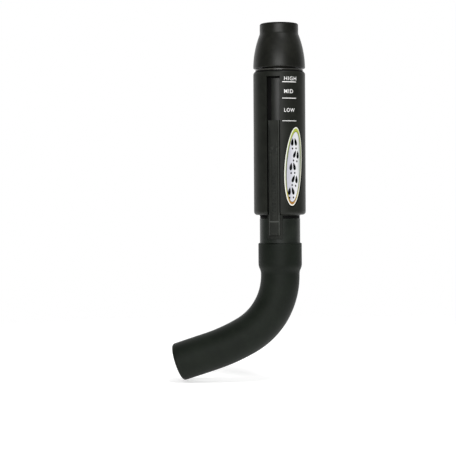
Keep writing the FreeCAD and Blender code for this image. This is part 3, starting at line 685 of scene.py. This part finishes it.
def make_grip_strip(finish):
    """Rubber strip with rounded ribs, crowned across and eased along its edges."""
    low, high = STRIP_LOW, STRIP_HIGH
    face = high.y if abs(high.y) > abs(low.y) else low.y
    base = face + RIB_RISE
    floor = max(low.y, high.y)
    half = high.x - 0.02
    rows = 520
    columns = 14
    made = bmesh.new()
    grid = []
    for row in range(rows + 1):
        level = low.z + 0.02 + (high.z - low.z - 0.04) * row / rows
        line = []
        for column in range(columns + 1):
            share = -1 + 2 * column / columns
            x = half * math.sin(share * math.pi / 2)
            crown = 0.10 * share ** 4
            y = base - RIB_RISE * rib_height(level) * (1 - 0.25 * share ** 6) + crown
            line.append(made.verts.new(mm(x, y, level)))
        grid.append(line)
    for row in range(rows):
        for column in range(columns):
            made.faces.new((grid[row][column], grid[row][column + 1], grid[row + 1][column + 1],
                            grid[row + 1][column]))
    rim = [e for e in made.edges if e.is_boundary]
    walls = bmesh.ops.extrude_edge_only(made, edges=rim)["geom"]
    foot = [v for v in walls if isinstance(v, bmesh.types.BMVert)]
    for vert in foot:
        vert.co.y = floor * MM
    bmesh.ops.contextual_create(made, geom=[e for e in made.edges if e.is_boundary])
    piece = make_piece("grip_ribs", made, finish, "slider", crease=50)
    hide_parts("grip_strip")


# ---------------------------------------------------------------- badge

BADGE_TURN = 48.0
BADGE_LEAN = 4.0
BADGE_LEVEL = -16.8
BADGE_HALF_TALL = 28.5
BADGE_HALF_WIDE = 7.92
BADGE_THICK = 0.2
BAND_LOW = -44.5
BAND_HIGH = 11.2
DESIGN_SHIFT = -0.3
HOOF_COUNT = 5
HOOF_FIRST = -17.5
HOOF_STEP = 8.6
HOOF_SIDE = 1.2
HOOF_TURN = 7
HOOF_SIZE = 1.88
TOE_HALF = (0.80, 1.45)
TOE_OUT = 0.66
TOE_SPREAD = 9
CLAW_PLACE = (0.78, -2.35)
CLAW_HALF = (0.30, 0.40)


def on_badge(across, up):
    """A point of the badge's design, on the barrel."""
    across, up = leaned(across, up, BADGE_LEAN)
    return BADGE_TURN, across, BADGE_LEVEL + up


def oval(half_wide, half_tall, count=220, shift=(0, 0)):
    points = []
    for step in range(count):
        turn = 2 * math.pi * step / count
        points.append((shift[0] + half_wide * math.cos(turn), shift[1] + half_tall * math.sin(turn)))
    return points


def hoof_half(side, lean, middle, size):
    """One toe of a hoof print: a teardrop with its tip up and inwards."""
    points = []
    swing = math.radians(lean)
    for step in range(60):
        turn = 2 * math.pi * step / 60
        fullness = 1 if math.sin(turn) * side > 0 else 0.8
        x = TOE_HALF[0] * math.sin(turn) * math.sin(turn / 2) ** 0.9 * fullness + side * TOE_OUT
        y = TOE_HALF[1] * math.cos(turn)
        spread = math.radians(side * TOE_SPREAD)
        x, y = x * math.cos(spread) - y * math.sin(spread), y * math.cos(spread) + x * math.sin(spread)
        x, y = x * math.cos(swing) + y * math.sin(swing), y * math.cos(swing) - x * math.sin(swing)
        points.append((middle[0] + x * size, middle[1] + y * size))
    return points


def claw(side, lean, middle, size):
    """Small round mark of a dew claw, behind its toe."""
    swing = math.radians(lean)
    x, y = side * CLAW_PLACE[0], CLAW_PLACE[1]
    x, y = x * math.cos(swing) + y * math.sin(swing), y * math.cos(swing) - x * math.sin(swing)
    return oval(CLAW_HALF[0] * size, CLAW_HALF[1] * size, 28, (middle[0] + x * size, middle[1] + y * size))


def centre_of(points):
    return (sum(p[0] for p in points) / len(points), sum(p[1] for p in points) / len(points))


def make_badge(looks):
    """Layered oval badge: black edge, white ring, coloured band, pale field and a trail of hoof prints."""
    low = BARREL_R - BADGE_THICK
    edge = bmesh.new()
    add_decal(edge, oval(BADGE_HALF_WIDE, BADGE_HALF_TALL), on_badge, low, BARREL_R + 0.02, rings=14)
    base = make_piece("badge_edge", edge, looks["edge"], "barrel")
    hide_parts("side_badge")
    layers = (
        ("badge_ring", "ring", 0.88, 0.92, (DESIGN_SHIFT, 0), 0.04),
        ("badge_band", "band", 1.62, 1.85, (DESIGN_SHIFT, 0), 0.055),
        ("badge_line", "edge", 2.22, 3.75, (DESIGN_SHIFT, -0.35), 0.062),
        ("badge_field", "field", 2.50, 4.08, (DESIGN_SHIFT, -0.35), 0.075),
    )
    for name, look, inset_wide, inset_tall, shift, rise in layers:
        made = bmesh.new()
        shape = oval(BADGE_HALF_WIDE - inset_wide, BADGE_HALF_TALL - inset_tall, shift=shift)
        add_decal(made, shape, on_badge, BARREL_R, BARREL_R + rise, rings=12, hub=shift)
        make_piece(name, made, looks[look], "barrel")
    prints = bmesh.new()
    for index in range(HOOF_COUNT):
        side = 1 if index % 2 else -1
        middle = (side * HOOF_SIDE + DESIGN_SHIFT, HOOF_FIRST + index * HOOF_STEP)
        for toe in (-1, 1):
            place = (toe, side * HOOF_TURN, middle, HOOF_SIZE)
            for shape in (hoof_half(*place), claw(*place)):
                add_decal(prints, shape, on_badge, BARREL_R + 0.05, BARREL_R + 0.09, rings=4,
                          hub=centre_of(shape))
    make_piece("badge_hoofprints", prints, looks["edge"], "barrel")


def badge_looks():
    """Printed and clear-coated vinyl in the badge's four colours, the field with a painted shade towards
    its right side.
    """
    gloss = {"Coat_Weight": 0.35, "Coat_Roughness": 0.12}
    looks = {}

    edge = Finish("badge_black", Specular_IOR_Level=0.08)
    mottle = edge.span(edge.grain(0.5, 2), 0.3, 0.7)
    edge.set("Base Color", edge.mix(mottle, paint(1, 1, 1), paint(5, 5, 5)))
    edge.set("Roughness", edge.maths("ADD", edge.maths("MULTIPLY", edge.grain(2, 3), 0.12), 0.6))
    looks["edge"] = edge.material

    ring = Finish("badge_white", **gloss)
    tint = ring.span(ring.axis("Z"), -0.045, 0.012)
    cream = ring.mix(tint, paint(236, 232, 218), paint(230, 234, 212))
    ring.set("Base Color", ring.mix(ring.span(ring.grain(0.3, 2), 0.3, 0.7), cream, paint(240, 240, 234)))
    ring.set("Roughness", ring.maths("ADD", ring.maths("MULTIPLY", ring.grain(2, 3), 0.1), 0.3))
    looks["ring"] = ring.material

    band = Finish("badge_band", **gloss)
    level = band.add("ShaderNodeMapRange", {"Value": band.axis("Z"), "From Min": BAND_LOW * MM,
                                            "From Max": BAND_HIGH * MM})
    fade = band.add("ShaderNodeValToRGB", {0: level.outputs[0]})
    stops = ((0.0, (158, 98, 26)), (0.06, (176, 128, 44)), (0.14, (196, 188, 92)), (0.26, (148, 156, 100)),
             (0.6, (132, 142, 100)), (0.84, (168, 180, 84)), (1.0, (186, 198, 66)))
    ramp = fade.color_ramp
    ramp.elements[0].position = stops[0][0]
    ramp.elements[0].color = paint(*stops[0][1])
    ramp.elements[1].position = stops[-1][0]
    ramp.elements[1].color = paint(*stops[-1][1])
    for position, colour in stops[1:-1]:
        ramp.elements.new(position).color = paint(*colour)
    dots = band.span(band.grain(0.25, 1), 0.35, 0.65, 0.0, 0.12)
    band.set("Base Color", band.mix(dots, fade.outputs[0], paint(90, 100, 60)))
    band.set("Roughness", band.maths("ADD", band.maths("MULTIPLY", band.grain(2, 3), 0.1), 0.3))
    looks["band"] = band.material

    field = Finish("badge_field", **gloss)
    turn = math.radians(BADGE_TURN)
    across = field.along((math.cos(turn), math.sin(turn), 0))
    pearl = field.mix(field.span(across, -0.005, 0.0015), paint(192, 192, 202), paint(232, 232, 234))
    # Painted shade: the field turns darker grey-green towards its right side, where it turns away from the
    # light.
    shaded = field.mix(field.span(across, 0.0022, 0.0062), pearl, paint(158, 168, 150))
    mist = field.span(field.grain(3, 4, 0.6), 0.35, 0.75, 0.0, 0.16)
    flecks = field.mix(mist, shaded, paint(204, 204, 212))
    field.set("Base Color", flecks)
    field.set("Roughness", field.maths("ADD", field.maths("MULTIPLY", field.grain(2, 3), 0.1), 0.28))
    looks["field"] = field.material
    return looks


# ---------------------------------------------------------------- printed tone marks

MARK_TURN = 36.8
MARK_HALF = BARREL_R * math.sin(math.radians(16.6))
TICKS = ((42.2, 0.56), (30.8, 0.52), (15.0, 0.44))
WORDS = (("HIGH", 43.25, 9.3), ("MID", 34.3, 6.6), ("LOW", 21.2, 7.8))
WORD_LEFT = -3.94
CAP_HEIGHT = 2.65
WORD_STRIP = 0.4
PRINT_RISE = 0.03
PRINT_SINK = 0.05


def white_print():
    """Pad-printed white ink with slightly ragged cover."""
    look = Finish("white_print")
    thin = look.span(look.grain(0.35, 3, 0.7), 0.2, 0.6)
    look.set("Base Color", look.mix(thin, paint(232, 232, 229), paint(253, 253, 251)))
    look.set("Roughness", look.maths("ADD", look.maths("MULTIPLY", look.grain(1.2, 3), 0.15), 0.42))
    look.set("Normal", look.bump(look.grain(0.3, 2), 0.004))
    return look.material


def make_ticks(finish):
    made = bmesh.new()
    for level, thick in TICKS:
        outline = []
        steps = 48
        for side in (-1, 1):
            for step in range(steps + 1):
                share = step / steps if side < 0 else 1 - step / steps
                outline.append((-MARK_HALF + 2 * MARK_HALF * share, side * thick / 2))

        def place(across, up, level=level):
            return MARK_TURN, across, level + up
        add_decal(made, outline, place, BARREL_R - PRINT_SINK, BARREL_R + PRINT_RISE, rings=3)
    make_piece("tone_ticks", made, finish, "barrel", crease=60)


def make_word(word, level, width, finish):
    """Capitals laid round the barrel; the flat letters are cut into narrow strips so that they curve."""
    font = bpy.data.curves.new(word, "FONT")
    font.body = word
    font.size = 1.0
    font.offset = 0.006
    font.space_character = 1.16
    font.extrude = 0.01
    font.resolution_u = 6
    flat = bpy.data.objects.new(word, font)
    bpy.context.scene.collection.objects.link(flat)
    bpy.context.view_layer.update()
    mesh = bpy.data.meshes.new_from_object(flat)
    bpy.data.objects.remove(flat)
    made = bmesh.new()
    made.from_mesh(mesh)
    bpy.data.meshes.remove(mesh)
    xs = [v.co.x for v in made.verts]
    ys = [v.co.y for v in made.verts]
    for vert in made.verts:
        vert.co.x = (vert.co.x - min(xs)) / (max(xs) - min(xs)) * width
        vert.co.y = (vert.co.y - min(ys)) / (max(ys) - min(ys)) * CAP_HEIGHT
    strips = int(width / WORD_STRIP)
    for strip in range(1, strips):
        geometry = made.verts[:] + made.edges[:] + made.faces[:]
        bmesh.ops.bisect_plane(made, geom=geometry, plane_co=(width * strip / strips, 0, 0),
                               plane_no=(1, 0, 0))
    for vert in made.verts:
        out = BARREL_R + (PRINT_RISE if vert.co.z > 0 else -PRINT_SINK)
        vert.co = wrapped(MARK_TURN, WORD_LEFT + vert.co.x, level + vert.co.y, out)
    make_piece("mark_" + word.lower(), made, finish, "barrel", crease=60)


# ---------------------------------------------------------------- stage, light and camera

FLOOR_DROP = 0.8
FLOOR_GLOW = 0.45
FLOOR_RINGS = (0.05, 0.1, 0.2, 0.3, 0.45, 0.6, 0.8)
FLOOR_FADE = (0.22, 0.62)
ROOM_FRONT = 0.18
ROOM_BACK = 1.2
ROOM_TURN = math.radians(18)
ROOM_FADE = (0.1, 0.85)
CAMERA_TURN = math.radians(15.95)
CAMERA_RISE = math.radians(1.16)
CAMERA_ROLL = math.radians(-0.36)
CAMERA_DISTANCE = 0.968
CAMERA_LENS = 107.4
AIM_LEVEL = -59.9
AIM_SIDE = -37.0


def make_floor():
    """Plain pale floor that fades into the backdrop."""
    level = cad_low.z - FLOOR_DROP * MM
    made = bmesh.new()
    count = 96
    last = None
    for radius in FLOOR_RINGS:
        ring = []
        for step in range(count):
            turn = 2 * math.pi * step / count
            ring.append(made.verts.new((radius * math.cos(turn), radius * math.sin(turn), level)))
        if last is None:
            made.faces.new(ring)
        else:
            for step in range(count):
                after = (step + 1) % count
                made.faces.new((last[step], ring[step], ring[after], last[after]))
        last = ring
    mesh = bpy.data.meshes.new("floor")
    made.to_mesh(mesh)
    made.free()
    look = Finish("floor_paper", Emission_Color=(1.0, 1.0, 1.0, 1.0), Emission_Strength=FLOOR_GLOW)
    look.set("Base Color", look.mix(look.grain(4, 3), paint(248, 248, 248), paint(252, 252, 251)))
    look.set("Roughness", look.maths("ADD", look.maths("MULTIPLY", look.grain(20, 2), 0.05), 0.7))
    reach = look.add("ShaderNodeVectorMath", {0: look.place}, operation="LENGTH").outputs["Value"]
    fade = look.span(reach, *FLOOR_FADE)
    clear = look.add("ShaderNodeBsdfTransparent").outputs[0]
    output = look.tree.nodes["Material Output"]
    blend = look.add("ShaderNodeMixShader", {0: fade, 1: look.shader.outputs[0], 2: clear}).outputs[0]
    look.tree.links.new(blend, output.inputs["Surface"])
    mesh.materials.append(look.material)
    floor = bpy.data.objects.new("floor", mesh)
    bpy.context.scene.collection.objects.link(floor)


def make_world():
    """White backdrop for the eye; for the light, a studio that is dim in front and bright behind."""
    world = bpy.data.worlds.new("studio")
    bpy.context.scene.world = world
    world.use_nodes = True
    tree = world.node_tree
    room = tree.nodes["Background"]
    room.inputs["Color"].default_value = (1.0, 1.0, 1.0, 1.0)
    toward = tree.nodes.new("ShaderNodeTexCoord").outputs["Generated"]
    behind = tree.nodes.new("ShaderNodeVectorMath")
    behind.operation = "DOT_PRODUCT"
    behind.inputs[1].default_value = (-math.sin(ROOM_TURN), math.cos(ROOM_TURN), 0)
    tree.links.new(toward, behind.inputs[0])
    fade = tree.nodes.new("ShaderNodeMapRange")
    fade.interpolation_type = "SMOOTHSTEP"
    fade.inputs["From Min"].default_value = ROOM_FADE[0]
    fade.inputs["From Max"].default_value = ROOM_FADE[1]
    fade.inputs["To Min"].default_value = ROOM_FRONT
    fade.inputs["To Max"].default_value = ROOM_BACK
    tree.links.new(behind.outputs["Value"], fade.inputs["Value"])
    tree.links.new(fade.outputs[0], room.inputs["Strength"])
    paper = tree.nodes.new("ShaderNodeBackground")
    paper.inputs["Color"].default_value = (1.0, 1.0, 1.0, 1.0)
    paper.inputs["Strength"].default_value = 1.0
    rays = tree.nodes.new("ShaderNodeLightPath")
    either = tree.nodes.new("ShaderNodeMixShader")
    tree.links.new(rays.outputs["Is Camera Ray"], either.inputs[0])
    tree.links.new(room.outputs[0], either.inputs[1])
    tree.links.new(paper.outputs[0], either.inputs[2])
    tree.links.new(either.outputs[0], tree.nodes["World Output"].inputs["Surface"])


def add_softbox(name, turn, level, distance, size, power):
    """Rectangular area light at an angle round the object, aimed at the barrel."""
    lamp = bpy.data.lights.new(name, "AREA")
    lamp.shape = "RECTANGLE"
    lamp.size, lamp.size_y = size
    lamp.energy = power
    holder = bpy.data.objects.new(name, lamp)
    swing = math.radians(turn)
    holder.location = (distance * math.sin(swing), -distance * math.cos(swing), level)
    aim = Vector((0, 0, -0.02)) - holder.location
    holder.rotation_mode = "QUATERNION"
    holder.rotation_quaternion = aim.to_track_quat("-Z", "Y")
    bpy.context.scene.collection.objects.link(holder)


def make_lights():
    add_softbox("key", 11.5, 0.26, 1.2, (0.80, 0.22), 7.8)
    add_softbox("fill", 42, 1.5, 0.66, (0.4, 0.4), 14.0)


def make_camera():
    data = bpy.data.cameras.new("camera")
    data.lens = CAMERA_LENS
    data.sensor_width = 36.0
    data.clip_start = 0.05
    data.clip_end = 20.0
    camera = bpy.data.objects.new("camera", data)
    back = Vector((math.sin(CAMERA_TURN) * math.cos(CAMERA_RISE),
                   -math.cos(CAMERA_TURN) * math.cos(CAMERA_RISE), math.sin(CAMERA_RISE)))
    right = Vector((math.cos(CAMERA_TURN), math.sin(CAMERA_TURN), 0))
    aim = mm(0, 0, AIM_LEVEL) + right * AIM_SIDE * MM
    camera.location = aim + back * CAMERA_DISTANCE
    camera.rotation_mode = "QUATERNION"
    level = (-back).to_track_quat("-Z", "Y")
    camera.rotation_quaternion = level @ Matrix.Rotation(CAMERA_ROLL, 3, "Z").to_quaternion()
    bpy.context.scene.collection.objects.link(camera)
    bpy.context.scene.camera = camera


# ---------------------------------------------------------------- build

FINISHES = {
    "barrel_plastic": barrel_plastic,
    "inner_plastic": inner_plastic,
    "neck_plastic": neck_plastic,
    "slider_plastic": slider_plastic,
    "adapter_plastic": adapter_plastic,
    "liner_plastic": liner_plastic,
    "bush_plastic": bush_plastic,
    "carrier_plastic": carrier_plastic,
    "board_plastic": board_plastic,
    "plug_plastic": plug_plastic,
    "reed_film": reed_film,
    "mouth_rubber": mouth_rubber,
    "tube_rubber": tube_rubber,
    "grip_rubber": grip_rubber,
    "seal_rubber": seal_rubber,
    "tension_rubber": tension_rubber,
    "wedge_rubber": wedge_rubber,
    "badge_print": white_print,
}
finishes = {name: make() for name, make in FINISHES.items()}

for node_name, node in nodes.items():
    finish = finishes[SLOTS[node_name]]
    for material_slot in node.material_slots:
        material_slot.material = finish

make_mouthpiece(finishes["mouth_rubber"])
make_tube(finishes["tube_rubber"])
make_grip_strip(finishes["grip_rubber"])
for node_name, piece_name in SEALS.items():
    make_seal(node_name, piece_name, finishes["seal_rubber"])
make_foot_seal(finishes["seal_rubber"])
make_badge(badge_looks())
make_ticks(finishes["badge_print"])
for word, level, width in WORDS:
    make_word(word, level, width, finishes["badge_print"])

make_floor()
make_world()
make_lights()
make_camera()
bpy.context.scene.view_settings.view_transform = "Standard"
